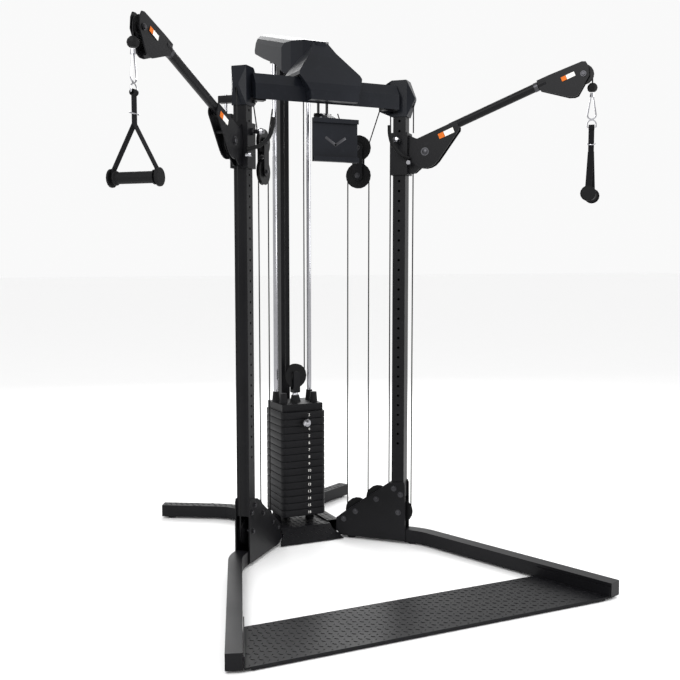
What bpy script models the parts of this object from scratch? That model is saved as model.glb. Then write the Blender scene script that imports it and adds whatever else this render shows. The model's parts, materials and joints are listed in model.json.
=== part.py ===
"""Cable crossover machine: two adjustable pulley arms on a V-shaped base, one weight stack.

Units are metres, +Z up, -Y is the user's side. The origin is on the floor, at the middle
of the machine's box. Most pieces come in mirrored pairs. They are drawn in the frame of the
right column: x runs from the column outwards and forwards (45 degrees), y outwards and
backwards, z up. The left piece is the mirror image of the right one.
"""
import math

import bmesh
import bpy
from mathutils import Matrix, Vector

# ---- driving dimensions -------------------------------------------------------------
GAP = 0.0003                 # air between touching pieces
COLUMN_X = 0.3237            # column centre from the machine's middle
COLUMN_Y = 0.0471            # column centre from the box's middle
COLUMN_SIDE = 0.050
COLUMN_WALL = 0.0025
COLUMN_BOTTOM = 0.186
COLUMN_TOP = 1.700
HOLE_PITCH = 0.0381
HOLE_FIRST = 0.4044
HOLE_COUNT = 34
PIN_HOLE_Z = HOLE_FIRST + 31 * HOLE_PITCH
HOLE_RADIUS = 0.0052
FLOOR_GAP = 0.0085           # underside of the base tubes
TUBE_HEIGHT = 0.050
TUBE_WALL = 0.003

PULLEY_RADIUS = 0.050        # rim of the large pulleys
PULLEY_WIDTH = 0.017
PULLEY_GROOVE = 0.044        # radius of the cable's centre line on a large pulley
PULLEY_BORE = 0.0055
HEAD_PULLEY_RADIUS = 0.036
HEAD_PULLEY_GROOVE = 0.031
CABLE_RADIUS = 0.0025

BASE_PULLEY = (0.005, 0.127)          # x and z in the column frame
FRONT_GUSSET_PULLEY = (-0.087, 0.173)
REAR_GUSSET_PULLEY = (-0.175, 0.115)
TOP_PULLEY = (0.003, 1.747)
OUTER_STRAND = BASE_PULLEY[0] + PULLEY_GROOVE
BLOCK_X = FRONT_GUSSET_PULLEY[0] - 2 * PULLEY_GROOVE
BLOCK_UPPER_Z = 1.569
BLOCK_LOWER_Z = 1.461

CARRIAGE_BOTTOM = 1.456
CARRIAGE_TOP = 1.617
CARRIAGE_OUT = 0.0345
CHEEK_THICK = 0.0045
CHEEK_MIDDLE = 0.0113        # the carriage's cheeks run between the arm's root plates
PIVOT = (0.100, 1.543)
PIVOT_GROOVE = PIVOT[0] - OUTER_STRAND
PIVOT_PULLEY_RADIUS = PIVOT_GROOVE + 0.005
ROOT_MIDDLE = 0.0160
ROOT_RADIUS = 0.063
ARM_ANGLE = math.radians(22)
ARM_RADIUS = 0.016
ARM_LINE = 0.0475            # arm tube's centre line above the pivot, across the arm
ARM_START = 0.120
ARM_END = 0.476
HEAD_CHEEK = 0.0150
HEAD_PULLEY_AT = (0.6375, ARM_LINE - HEAD_PULLEY_GROOVE)
HANDLE_X = (PIVOT[0] + math.cos(ARM_ANGLE) * HEAD_PULLEY_AT[0]
            - math.sin(ARM_ANGLE) * HEAD_PULLEY_AT[1] + HEAD_PULLEY_GROOVE)

BALL_Z = 1.748
BALL_RADIUS = 0.0185
SWING_Z = 1.724
CLIP_LOW = 1.636
RING_RADIUS = 0.016
STRAP_TOP = CLIP_LOW - 0.0285    # bar of the ring, inside the strap's upper loop
STRAP_FORK = 1.520
GRIP_Z = 1.366
GRIP_LENGTH = 0.170
GRIP_RADIUS = 0.0175
FLANGE_RADIUS = 0.0275

STACK_Y = COLUMN_Y + 0.302
PLATE_HALF_X = 0.096
PLATE_HALF_Y = 0.098
PLATE_PITCH = 0.0285
STACK_BOTTOM = 0.092
LOWER_PLATES = 13
LIFTED_PLATES = 2
HEAD_PLATE_THICK = 0.029
ROD_X = 0.074
ROD_Y = STACK_Y + 0.027
ROD_RADIUS = 0.0092
ROD_TOP = 1.912
STEM_RADIUS = 0.011
STACK_PULLEY_Z = 0.655
STACK_PULLEY_TURN = math.radians(8)

UPRIGHT_Y = COLUMN_Y + 0.425
UPRIGHT_SIDE = 0.038
UPRIGHT_TOP = 1.935

TRAY_Y = COLUMN_Y - 0.090
TRAY_PIVOT = (COLUMN_Y + 0.022, 1.668)

LOWER_TOP = STACK_BOTTOM + LOWER_PLATES * PLATE_PITCH
LIFTED_TOP = LOWER_TOP + LIFTED_PLATES * PLATE_PITCH
PIN_Z = LIFTED_TOP - 1.5 * PLATE_PITCH

HALF = COLUMN_SIDE / 2
TURN = {"right": -math.pi / 4, "left": -3 * math.pi / 4}
SIGN = {"right": 1, "left": -1}


# ---- materials and scene ------------------------------------------------------------
def material(name, color, roughness, metallic):
    mat = bpy.data.materials.new(name)
    mat.use_nodes = True
    shader = mat.node_tree.nodes["Principled BSDF"]
    shader.inputs["Base Color"].default_value = (*color, 1)
    shader.inputs["Roughness"].default_value = roughness
    shader.inputs["Metallic"].default_value = metallic
    mat.diffuse_color = (*color, 1)
    return mat


for old in list(bpy.data.objects):
    bpy.data.objects.remove(old)

PARTS = bpy.data.collections.new("cable_crossover_machine")
bpy.context.scene.collection.children.link(PARTS)

FRAME_PAINT = material("frame_paint", (0.020, 0.020, 0.024), 0.42, 0.1)
COVER_PLASTIC = material("cover_plastic", (0.018, 0.020, 0.026), 0.38, 0.0)
PULLEY_NYLON = material("pulley_nylon", (0.014, 0.014, 0.016), 0.45, 0.0)
CHROME = material("chrome", (0.75, 0.75, 0.76), 0.12, 1.0)
PLATE_IRON = material("plate_iron", (0.022, 0.022, 0.025), 0.50, 0.2)
CABLE_BLACK = material("cable_black", (0.010, 0.010, 0.011), 0.40, 0.0)
RUBBER = material("rubber", (0.015, 0.015, 0.016), 0.75, 0.0)
WEBBING = material("webbing", (0.014, 0.014, 0.016), 0.85, 0.0)


# ---- shape helpers: each returns an object whose mesh is in its own frame ------------
def from_bmesh(bm):
    mesh = bpy.data.meshes.new("shape")
    bm.to_mesh(mesh)
    bm.free()
    obj = bpy.data.objects.new("shape", mesh)
    PARTS.objects.link(obj)
    return obj


def box(low, high):
    bm = bmesh.new()
    bmesh.ops.create_cube(bm, size=1)
    low, high = Vector(low), Vector(high)
    for vert in bm.verts:
        for i in range(3):
            vert.co[i] = low[i] + (vert.co[i] + 0.5) * (high[i] - low[i])
    return from_bmesh(bm)


def axis_turn(axis):
    """Rotation that takes +Z to the named axis."""
    return {"x": Matrix.Rotation(math.pi / 2, 4, "Y"),
            "y": Matrix.Rotation(-math.pi / 2, 4, "X"),
            "z": Matrix.Identity(4)}[axis]


def cylinder(centre, radius, length, axis="z", segments=16, radius_2=None):
    bm = bmesh.new()
    bmesh.ops.create_cone(bm, cap_ends=True, segments=segments, radius1=radius,
                          radius2=radius if radius_2 is None else radius_2, depth=length)
    bm.transform(Matrix.Translation(centre) @ axis_turn(axis))
    return from_bmesh(bm)


def ball(centre, radius, segments=12):
    bm = bmesh.new()
    bmesh.ops.create_uvsphere(bm, u_segments=segments, v_segments=segments // 2, radius=radius)
    bm.transform(Matrix.Translation(centre))
    return from_bmesh(bm)


def bake(obj):
    """Replace an object by a plain mesh of its evaluated shape."""
    bpy.context.view_layer.update()
    evaluated = obj.evaluated_get(bpy.context.evaluated_depsgraph_get())
    mesh = bpy.data.meshes.new_from_object(evaluated)
    mesh.transform(obj.matrix_world)
    bm = bmesh.new()
    bm.from_mesh(mesh)
    bmesh.ops.remove_doubles(bm, verts=bm.verts, dist=1e-5)
    bpy.data.objects.remove(obj)
    return from_bmesh(bm)


def curve_object(points, cyclic, dimensions):
    curve = bpy.data.curves.new("line", "CURVE")
    curve.dimensions = dimensions
    spline = curve.splines.new("POLY")
    spline.points.add(len(points) - 1)
    for point, co in zip(spline.points, points):
        point.co = (co[0], co[1], co[2] if len(co) > 2 else 0, 1)
    spline.use_cyclic_u = cyclic
    obj = bpy.data.objects.new("line", curve)
    PARTS.objects.link(obj)
    return obj


def plate(outline, thickness, plane="xz", offset=0.0, bevel=0.0):
    """A flat outline, as thick as asked, in the xy, xz or yz plane, centred on offset."""
    obj = curve_object(outline, True, "2D")
    obj.data.fill_mode = "BOTH"
    obj.data.extrude = thickness / 2
    turn = {"xy": Matrix.Translation((0, 0, offset)),
            "xz": Matrix.Translation((0, offset, 0)) @ Matrix.Rotation(math.pi / 2, 4, "X"),
            "yz": Matrix.Translation((offset, 0, 0)) @ Matrix(
                ((0, 0, 1, 0), (1, 0, 0, 0), (0, 1, 0, 0), (0, 0, 0, 1)))}[plane]
    obj.matrix_world = turn
    solid = bake(obj)
    bm = bmesh.new()
    bm.from_mesh(solid.data)
    bmesh.ops.recalc_face_normals(bm, faces=bm.faces)
    bm.to_mesh(solid.data)
    bm.free()
    if bevel:
        modifier = solid.modifiers.new("edge", "BEVEL")
        modifier.width = bevel
        modifier.segments = 1
        modifier.angle_limit = math.radians(50)
        solid = bake(solid)
    return solid


def wire(points, radius, closed=False):
    """A round wire along the points, its caps welded on."""
    obj = curve_object(points, closed, "3D")
    obj.data.bevel_depth = radius
    obj.data.bevel_resolution = 2
    obj.data.use_fill_caps = True
    obj.data.twist_mode = "MINIMUM"
    return bake(obj)


def turned(profile, centre=(0, 0, 0), axis="z", segments=16):
    """A (radius, height) profile, closed or ending on the axis, spun about it."""
    bm = bmesh.new()
    verts = [bm.verts.new((r, 0, h)) for r, h in profile]
    for a, b in zip(verts, verts[1:]):
        bm.edges.new((a, b))
    if profile[0][0] > 0:
        bm.edges.new((verts[-1], verts[0]))
    obj = from_bmesh(bm)
    screw = obj.modifiers.new("spin", "SCREW")
    screw.steps = segments
    screw.render_steps = segments
    screw.use_merge_vertices = True
    screw.merge_threshold = 0.00005
    solid = bake(obj)
    bm = bmesh.new()
    bm.from_mesh(solid.data)
    bmesh.ops.recalc_face_normals(bm, faces=bm.faces)
    bm.transform(Matrix.Translation(centre) @ axis_turn(axis))
    bm.to_mesh(solid.data)
    bm.free()
    return solid


def boolean(obj, other, operation):
    modifier = obj.modifiers.new("bool", "BOOLEAN")
    modifier.operation = operation
    modifier.solver = "EXACT"
    modifier.object = other
    result = bake(obj)
    bpy.data.objects.remove(other)
    return result


def union(obj, *others):
    for other in others:
        obj = boolean(obj, other, "UNION")
    return obj


def cut(obj, *others):
    for other in others:
        obj = boolean(obj, other, "DIFFERENCE")
    return obj


def arc(centre, radius, start, end, count):
    """Points in a plane, from start to end in degrees."""
    steps = [math.radians(start + (end - start) * i / (count - 1)) for i in range(count)]
    return [(centre[0] + radius * math.cos(a), centre[1] + radius * math.sin(a)) for a in steps]


def in_xz(points):
    return [(x, 0, z) for x, z in points]


def ribbon(path, half_width):
    """Outline of a bar of constant width along a bent path."""
    left, right = [], []
    for i, here in enumerate(path):
        before = Vector(path[max(i - 1, 0)])
        after = Vector(path[min(i + 1, len(path) - 1)])
        along_in = (Vector(here) - before).normalized() if i else None
        along_out = (after - Vector(here)).normalized() if i < len(path) - 1 else None
        along_in = along_in or along_out
        along_out = along_out or along_in
        mean = (along_in + along_out).normalized()
        reach = half_width / mean.dot(along_in)
        side = Vector((-mean.y, mean.x)) * reach
        left.append(tuple(Vector(here) + side))
        right.append(tuple(Vector(here) - side))
    return left + right[::-1]


# ---- placing ------------------------------------------------------------------------
def name_piece(obj, name, mat):
    obj.name = name
    obj.data.name = name
    obj.data.materials.clear()
    obj.data.materials.append(mat)
    obj.data.shade_smooth()
    obj.data.set_sharp_from_angle(angle=math.radians(35))
    return obj


def centre_piece(obj, name, mat, origin=(0, 0, 0), turn=0.0):
    """A single piece, drawn about its origin."""
    name_piece(obj, name, mat)
    obj.matrix_world = Matrix.Translation(origin) @ Matrix.Rotation(turn, 4, "Z")
    return obj


def side_point(side, x, y, z):
    """A point of the column frame in the machine's frame."""
    right = Matrix.Rotation(TURN["right"], 4, "Z") @ Vector((x, y, z))
    right.x += COLUMN_X
    right.y += COLUMN_Y
    return Vector((SIGN[side] * right.x, right.y, right.z))


def mirror_mesh(mesh):
    twin = mesh.copy()
    bm = bmesh.new()
    bm.from_mesh(twin)
    for vert in bm.verts:
        vert.co.y = -vert.co.y
    bmesh.ops.reverse_faces(bm, faces=bm.faces)
    bm.to_mesh(twin)
    bm.free()
    return twin


def pair(obj, name, mat, origin=(0, 0, 0), tilt=0.0):
    """The right piece and its mirror image, drawn about an origin in the column frame."""
    twin = bpy.data.objects.new("twin", mirror_mesh(obj.data))
    PARTS.objects.link(twin)
    for side, piece in (("right", obj), ("left", twin)):
        name_piece(piece, f"{side}_{name}", mat)
        piece.matrix_world = (Matrix.Translation(side_point(side, *origin))
                              @ Matrix.Rotation(TURN[side], 4, "Z")
                              @ Matrix.Rotation(-tilt, 4, "Y"))


# ---- frame --------------------------------------------------------------------------
def columns():
    tube = box((-HALF, -HALF, COLUMN_BOTTOM), (HALF, HALF, COLUMN_TOP))
    inner = HALF - COLUMN_WALL
    bore = box((-inner, -inner, COLUMN_BOTTOM - 0.01), (inner, inner, COLUMN_TOP + 0.01))
    holes = [cylinder((0, -HALF, HOLE_FIRST + i * HOLE_PITCH), HOLE_RADIUS, 0.012, "y", 8)
             for i in range(HOLE_COUNT)]
    pair(cut(tube, *holes, bore), "column", FRAME_PAINT)


LEG_BEND = (0.0953, 0.0)
LEG_TURN = math.radians(-25.9)
LEG_LENGTH = 0.849
LEG_START = 0.030


def leg_path(start, past_end=0.0):
    """Leg centre line in plan: straight out of the gusset, a short bend, straight forward."""
    ahead = Vector((math.cos(LEG_TURN), math.sin(LEG_TURN)))
    bend = Vector(LEG_BEND)
    setback = 0.045
    before = bend - Vector((setback, 0))
    after = bend + ahead * setback
    points = [(start, 0.0)]
    for i in range(5):
        f = i / 4
        points.append(tuple((1 - f) ** 2 * before + 2 * f * (1 - f) * bend + f * f * after))
    points.append(tuple(bend + ahead * (LEG_LENGTH + past_end)))
    return points


GUSSET_OUTLINE = [(-0.257, 0.030), (-0.257, 0.083), (-0.214, 0.116), (-0.035, 0.243),
                  (0.026, 0.252), (0.032, 0.240), (0.034, 0.012), (-0.230, 0.012)]
GUSSET_NEAR = HALF + GAP
GUSSET_PLATE = 0.005


def side_bases():
    """Front leg, its two gusset plates and the web that joins them."""
    leg = plate(ribbon(leg_path(LEG_START), HALF), TUBE_HEIGHT, "xy",
                FLOOR_GAP + TUBE_HEIGHT / 2)
    hollow = plate(ribbon(leg_path(LEG_START - 0.01, -0.006), HALF - TUBE_WALL),
                   TUBE_HEIGHT - 2 * TUBE_WALL, "xy", FLOOR_GAP + TUBE_HEIGHT / 2)
    leg = cut(leg, hollow)
    middle = GUSSET_NEAR + GUSSET_PLATE / 2
    cheeks = [plate(GUSSET_OUTLINE, GUSSET_PLATE, "xz", side * middle) for side in (-1, 1)]
    web = box((-0.250, -middle, 0.0122), (0.036, middle, 0.0182))
    post = box((-0.250, -middle, 0.0150), (-0.232, middle, 0.0700))
    end = Vector(leg_path(LEG_START)[-1])
    ahead = Vector((math.cos(LEG_TURN), math.sin(LEG_TURN)))
    toe = end - ahead * 0.04
    pads = [cylinder((x, y, 0.006), 0.017, 0.012, "z", 12)
            for x, y in ((toe.x, toe.y), (0.055, 0.0))]
    pads.append(cylinder((-0.20, 0, 0.007), 0.017, 0.014, "z", 12))
    pair(union(leg, *cheeks, web, post, *pads), "base", FRAME_PAINT)


def step_plate():
    """Tread plate between the front legs, with a flange up each leg."""
    rear, front = -0.600, -0.876

    def inner_edge(y):
        return 0.3955 + 0.3456 * (-y - 0.08) - 0.0268

    def quad(lift, inset, thick):
        corners = [(-inner_edge(rear) + inset, rear), (inner_edge(rear) - inset, rear),
                   (inner_edge(front) - inset, front), (-inner_edge(front) + inset, front)]
        corners = [(x, y + COLUMN_Y) for x, y in corners]
        return plate(corners, thick, "xy", lift)

    tread = quad(0.0115, 0.0005, 0.005)
    flanges = []
    for side in (1, -1):
        line = [(side * (inner_edge(y) - 0.0026), y + COLUMN_Y) for y in (rear, front)]
        flanges.append(plate(ribbon(line, 0.0018), 0.034, "xy", 0.029))
    lips = [box((-0.535, rear + COLUMN_Y, 0.003), (0.535, rear + COLUMN_Y + 0.004, 0.012)),
            box((-0.620, front + COLUMN_Y, 0.003), (0.620, front + COLUMN_Y + 0.004, 0.012))]
    centre_piece(union(tread, *flanges, *lips), "step_plate", FRAME_PAINT)


def rear_base():
    """Two bent rear legs, the pan under the stack and the sloping foot plate."""
    def bent(points, side):
        return [(side * x, y + COLUMN_Y) for x, y in points]

    line = [(0.440, 0.762), (0.230, 0.640), (0.186, 0.606), (0.152, 0.556),
            (0.135, 0.500), (0.130, 0.440), (0.130, 0.215)]
    legs = [plate(ribbon(bent(line, side), HALF), TUBE_HEIGHT, "xy",
                  FLOOR_GAP + TUBE_HEIGHT / 2) for side in (1, -1)]
    inner = [plate(ribbon(bent([(0.435, 0.759)] + line[1:-1] + [(0.130, 0.200)], side),
                          HALF - TUBE_WALL), TUBE_HEIGHT - 2 * TUBE_WALL, "xy",
                   FLOOR_GAP + TUBE_HEIGHT / 2) for side in (1, -1)]
    pan = box((-0.128, COLUMN_Y + 0.2155, 0.040), (0.128, COLUMN_Y + 0.440, 0.0500))
    cross = box((-0.128, COLUMN_Y + 0.385, 0.012), (0.128, COLUMN_Y + 0.435, 0.045))
    tread = plate([(COLUMN_Y + 0.126, 0.0040), (COLUMN_Y + 0.193, 0.0525),
                   (COLUMN_Y + 0.230, 0.0525), (COLUMN_Y + 0.230, 0.0470),
                   (COLUMN_Y + 0.195, 0.0470), (COLUMN_Y + 0.133, 0.0035)],
                  0.290, "yz", 0.0)
    plan = both_sides([(0.141, COLUMN_Y + 0.120), (0.126, COLUMN_Y + 0.150),
                       (0.108, COLUMN_Y + 0.170), (0.108, COLUMN_Y + 0.240)])
    tread = boolean(tread, plate(plan, 0.2, "xy", 0.03), "INTERSECT")
    body = union(legs[0], legs[1], pan, cross)
    body = cut(body, *inner)
    body = union(body, tread)
    for side in (1, -1):
        body = union(body, cylinder((side * ROD_X, ROD_Y, 0.069), 0.019, 0.0420, "z", 16,
                                    0.017))
        body = union(body, cylinder((side * 0.405, COLUMN_Y + 0.742, 0.006), 0.017, 0.012,
                                    "z", 12))
        body = cut(body, cylinder((side * ROD_X, ROD_Y, 0.080), ROD_RADIUS + GAP, 0.060,
                                  "z", 16))
    centre_piece(body, "rear_base", FRAME_PAINT)


def upright_and_rods():
    half = UPRIGHT_SIDE / 2
    post = box((-half, -half, 0.0503), (half, half, UPRIGHT_TOP))
    bore = box((-half + 0.002, -half + 0.002, 0.040), (half - 0.002, half - 0.002, 2.0))
    centre_piece(cut(post, bore), "rear_upright", FRAME_PAINT, (0, UPRIGHT_Y, 0))
    for side, sign in SIGN.items():
        rod = cylinder((0, 0, (ROD_TOP + 0.052) / 2), ROD_RADIUS, ROD_TOP - 0.052, "z", 16)
        centre_piece(rod, f"{side}_guide_rod", CHROME, (sign * ROD_X, ROD_Y, 0))


def shifted(points):
    """Outline points (y, z) moved from the columns' plane to the machine's frame."""
    return [(y + COLUMN_Y, z) for y, z in points]


BOOM = [(0.020, 1.7150), (0.060, 1.7400), (0.190, 1.8500), (0.290, 1.9080), (0.450, 1.9620),
        (0.450, 1.9900), (0.380, 1.9900), (0.290, 1.9450), (0.078, 1.8000), (0.057, 1.7880),
        (0.020, 1.7680)]


def top_frame():
    """Cross beam, boom to the rear upright, rod holder and the tray's hanger."""
    y = COLUMN_Y
    beam = box((-0.262, y - 0.030, 1.717), (0.262, y + 0.034, 1.766))
    boom = plate(shifted(BOOM), 0.050, "yz")
    holder = box((-0.0860, ROD_Y - 0.015, ROD_TOP + GAP), (0.0860, ROD_Y + 0.015, 1.931))
    foot = box((-0.021, UPRIGHT_Y - 0.021, UPRIGHT_TOP + GAP), (0.021, UPRIGHT_Y + 0.021, 1.975))
    pivot_y, pivot_z = TRAY_PIVOT
    cheeks = [box((sign * 0.0175 - 0.002, pivot_y - 0.007, pivot_z - 0.009),
                  (sign * 0.0175 + 0.002, pivot_y + 0.009, 1.716)) for sign in (-1, 1)]
    flanges = [box((0.240, y - 0.016, COLUMN_TOP + GAP), (0.345, y + 0.016, 1.7085)),
               box((-0.345, y - 0.016, COLUMN_TOP + GAP), (-0.240, y + 0.016, 1.7085))]
    ends = [box((sign * 0.251 - 0.010, y - 0.016, 1.702), (sign * 0.251 + 0.010, y + 0.016, 1.720))
            for sign in (-1, 1)]
    body = union(beam, boom, holder, foot, *cheeks, *flanges, *ends)
    centre_piece(body, "top_frame", FRAME_PAINT)


BOOT_SIDE = [(-0.030, 1.816), (0.028, 1.816), (0.057, 1.750), (0.057, 1.742),
             (0.0300, 1.678), (-0.0300, 1.678), (-0.092, 1.706), (-0.092, 1.785)]
BOOT_PLAN = [(0.057, -0.012), (0.057, 0.012), (0.030, 0.0290), (-0.036, 0.0290),
             (-0.085, 0.018), (-0.085, -0.018), (-0.036, -0.0290), (0.030, -0.0290)]


def at_column(shape, side):
    """Move a shape that is the same on both sides from the column frame to its column."""
    shape.data.transform(Matrix.Translation((SIGN[side] * COLUMN_X, COLUMN_Y, 0))
                         @ Matrix.Rotation(TURN[side], 4, "Z"))
    return shape


def boot(side):
    """Outer shape of the pulley housing on a column's head."""
    return at_column(boolean(plate(BOOT_SIDE, 0.080, "xz"),
                             plate(BOOT_PLAN, 0.300, "xy", 1.74), "INTERSECT"), side)


def boot_room(side):
    """Room in the housing for the column, the frame's flange, the pulley and the cable."""
    clear = HALF + GAP
    x, z = TOP_PULLEY
    shapes = [box((-clear, -clear, 1.60), (clear, clear, COLUMN_TOP + GAP)),
              cylinder((x, 0, z), PULLEY_GROOVE + 0.0060, 0.0092, "y", 20),
              box((x + 0.0413, -0.0045, 1.62), (x + 0.0507, 0.0045, z)),
              box((x - 0.0507, -0.0045, 1.62), (x - 0.0413, 0.0045, z))]
    flange = box((0.230, COLUMN_Y - 0.0163, 1.690), (0.3453, COLUMN_Y + 0.0163, 1.7088))
    flange.data.transform(Matrix.Diagonal((SIGN[side], 1, 1, 1)))
    if side == "left":
        flange.data.flip_normals()
    return [flange] + [at_column(shape, side) for shape in shapes]


COVER = [(-0.045, 1.700), (-0.045, 1.755), (-0.020, 1.794), (0.030, 1.794), (0.050, 1.775),
         (0.050, 1.722)]
COVER_ROOM = [(-0.041, 1.690), (-0.041, 1.753), (-0.018, 1.788), (0.028, 1.788),
              (0.046, 1.771), (0.046, 1.690)]


def top_cover():
    """Moulded cover over the cross beam, with a housing on each column's head."""
    body = plate(shifted(COVER), 0.580, "yz")
    body = union(body, boot("right"), boot("left"))
    room = plate(shifted(COVER_ROOM), 0.526, "yz")
    notch = box((-0.0258, COLUMN_Y + 0.015, 1.690), (0.0258, COLUMN_Y + 0.060, 1.8100))
    body = cut(body, room, notch)
    body = cut(body, *boot_room("right"), *boot_room("left"))
    centre_piece(body, "top_cover", COVER_PLASTIC)


HOOD_SLOPE = 0.262
HOOD_RIDGE = 1.960 - 0.088 * HOOD_SLOPE      # ridge height above the columns' plane
HOOD_SECTION = [(0.0925, -0.300), (0.0925, -0.045), (0.0880, -0.026), (0.0760, -0.013),
                (0.0500, -0.004)]
HOOD_REAR = [(0.030, 1.7965), (0.030, 2.1000), (0.450, 2.1000), (0.472, 2.0500),
             (0.503, 1.9920), (0.498, 1.9780), (0.400, 1.9400), (0.278, 1.8990),
             (0.187, 1.8460), (0.060, 1.7965)]
HOOD_NOSE = [(-0.092, 1.7050), (-0.092, 1.7400), (-0.078, 1.7680), (0.038, 1.9360),
             (0.060, 1.9440), (0.110, 1.9440), (0.110, 1.7965), (-0.0485, 1.7965),
             (-0.0485, 1.7050)]
HOOD_FRONT = [(0.094, 1.690), (0.097, 1.735), (0.126, 1.798), (0.122, 1.812), (0.052, 1.897),
              (0.022, 1.950)]
HOOD_PLAN = [(0.010, 0.020), (0.054, 0.085), (0.078, 0.145), (0.0950, 0.215), (0.0950, 0.440),
             (0.0900, 0.600)]
HOOD_ROOM = [(0.0570, 1.6900), (0.0570, 1.9080), (0.1000, 1.9270), (0.2440, 1.9655),
             (0.4300, 2.0130), (0.4600, 2.0150), (0.4860, 1.9500), (0.4200, 1.8600),
             (0.1870, 1.7000)]
HOOD_ROOM_PLAN = [(0.0280, 0.0500), (0.0480, 0.0900), (0.0725, 0.1520), (0.0889, 0.2250),
                  (0.0889, 0.6000)]


def both_sides(half):
    return half + [(-x, v) for x, v in reversed(half)]


def hood():
    """Moulded hood over the centre pulleys, open underneath."""
    shell = plate(both_sides(HOOD_SECTION), 0.56, "xz", COLUMN_Y + 0.26)
    shear = Matrix.Identity(4)
    shear[2][1] = HOOD_SLOPE
    shell.data.transform(Matrix.Translation((0, 0, HOOD_RIDGE - COLUMN_Y * HOOD_SLOPE)) @ shear)
    rear = boolean(shell, plate(shifted(HOOD_REAR), 0.30, "yz"), "INTERSECT")
    plan = plate(both_sides([(x, y + COLUMN_Y) for x, y in HOOD_PLAN]), 0.8, "xy", 1.9)
    rear = boolean(rear, plan, "INTERSECT")
    nose = boolean(plate(shifted(HOOD_NOSE), 0.30, "yz"),
                   plate(both_sides(HOOD_FRONT), 1.2, "xz", 0.2), "INTERSECT")
    room_plan = plate(both_sides([(x, y + COLUMN_Y) for x, y in HOOD_ROOM_PLAN]), 0.9, "xy", 1.9)
    room = boolean(plate(shifted(HOOD_ROOM), 0.20, "yz"), room_plan, "INTERSECT")
    centre_piece(cut(union(rear, nose), room), "hood", COVER_PLASTIC)


# ---- weight stack -------------------------------------------------------------------
def plate_block(bottom, top, half_x, low_y, high_y):
    """Plates with the two rod holes, drawn about the stack's middle."""
    block = box((-half_x, low_y, bottom), (half_x, high_y, top))
    middle = (bottom + top) / 2
    holes = [cylinder((s * ROD_X, ROD_Y - STACK_Y, middle), ROD_RADIUS + 0.0012, 0.6, "z", 16)
             for s in (-1, 1)]
    return cut(block, *holes)


def stem_hole(middle):
    return cylinder((0, 0, middle), STEM_RADIUS + 0.001, 0.5, "z", 12)


def weight_stack():
    middle = (STACK_BOTTOM + LOWER_TOP) / 2
    lower = plate_block(STACK_BOTTOM, LOWER_TOP, PLATE_HALF_X, -PLATE_HALF_Y, PLATE_HALF_Y)
    centre_piece(cut(lower, stem_hole(middle)), "lower_weights", PLATE_IRON, (0, STACK_Y, 0))

    lifted = plate_block(LOWER_TOP + GAP, LIFTED_TOP, PLATE_HALF_X, -PLATE_HALF_Y,
                         PLATE_HALF_Y)
    pin_hole = cylinder((0, -0.07, PIN_Z), 0.0055, 0.14, "y", 10)
    lifted = cut(lifted, stem_hole(middle + 0.3), pin_hole)
    centre_piece(lifted, "lifted_weights", PLATE_IRON, (0, STACK_Y, 0))
    head_plate()

    shaft = cylinder((0, -0.060, PIN_Z), 0.0045, 0.140, "y", 10)
    knob = turned([(0, -0.128), (0.013, -0.130), (0.0165, -0.126), (0.0185, -0.118),
                   (0.0165, -0.1095), (0.011, -0.1045), (0, -0.1045)], (0, 0, PIN_Z), "y", 16)
    centre_piece(union(shaft, knob), "selector_pin", CHROME, (0, STACK_Y, 0))


def head_plate():
    """Top plate with its drilled stem, four bumpers and the yoke of the stack pulley."""
    low, high = LIFTED_TOP + GAP, LIFTED_TOP + HEAD_PLATE_THICK
    block = box((-0.0885, -0.077, low), (0.0885, 0.083, high))
    for sx in (-1, 1):
        for x, y in ((ROD_X, ROD_Y - STACK_Y), (0.066, -0.036)):
            block = union(block, cylinder((sx * x, y, high + 0.0200), 0.0168, 0.044, "z", 12,
                                          0.0128))
    holes = [cylinder((s * ROD_X, ROD_Y - STACK_Y, high), ROD_RADIUS + 0.0012, 0.6, "z", 16)
             for s in (-1, 1)]
    block = cut(block, *holes)
    stem = cut(cylinder((0, 0, 0.345), STEM_RADIUS, 0.490, "z", 12),
               cylinder((0, 0, PIN_Z), 0.0055, 0.06, "y", 10))
    block = union(block, stem, cylinder((0, 0, 0.560), 0.024, 0.032, "z", 14, 0.016))
    yoke = [box((-0.015, s * 0.0130 - 0.0020, 0.588), (0.015, s * 0.0130 + 0.0020, 0.672))
            for s in (-1, 1)]
    yoke.append(box((-0.0145, -0.0120, 0.5860), (0.0145, 0.0120, 0.5980)))
    yoke = union(*yoke)
    yoke.data.transform(Matrix.Rotation(STACK_PULLEY_TURN, 4, "Z"))
    centre_piece(union(block, yoke), "head_plate", PLATE_IRON, (0, STACK_Y, 0))


def pulley(radius, groove, width=PULLEY_WIDTH):
    """Grooved wheel on the y axis."""
    half = width / 2
    seat = groove - CABLE_RADIUS - 0.0011
    profile = [(PULLEY_BORE, half - 0.001), (0.012, half), (radius * 0.42, half - 0.003),
               (radius - 0.005, half - 0.002), (radius, half - 0.002), (seat, 0.0032),
               (seat, -0.0032), (radius, -half + 0.002), (radius - 0.005, -half + 0.002),
               (radius * 0.42, -half + 0.003), (0.012, -half), (PULLEY_BORE, -half + 0.001)]
    return turned(profile, (0, 0, 0), "y", 18)


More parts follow.
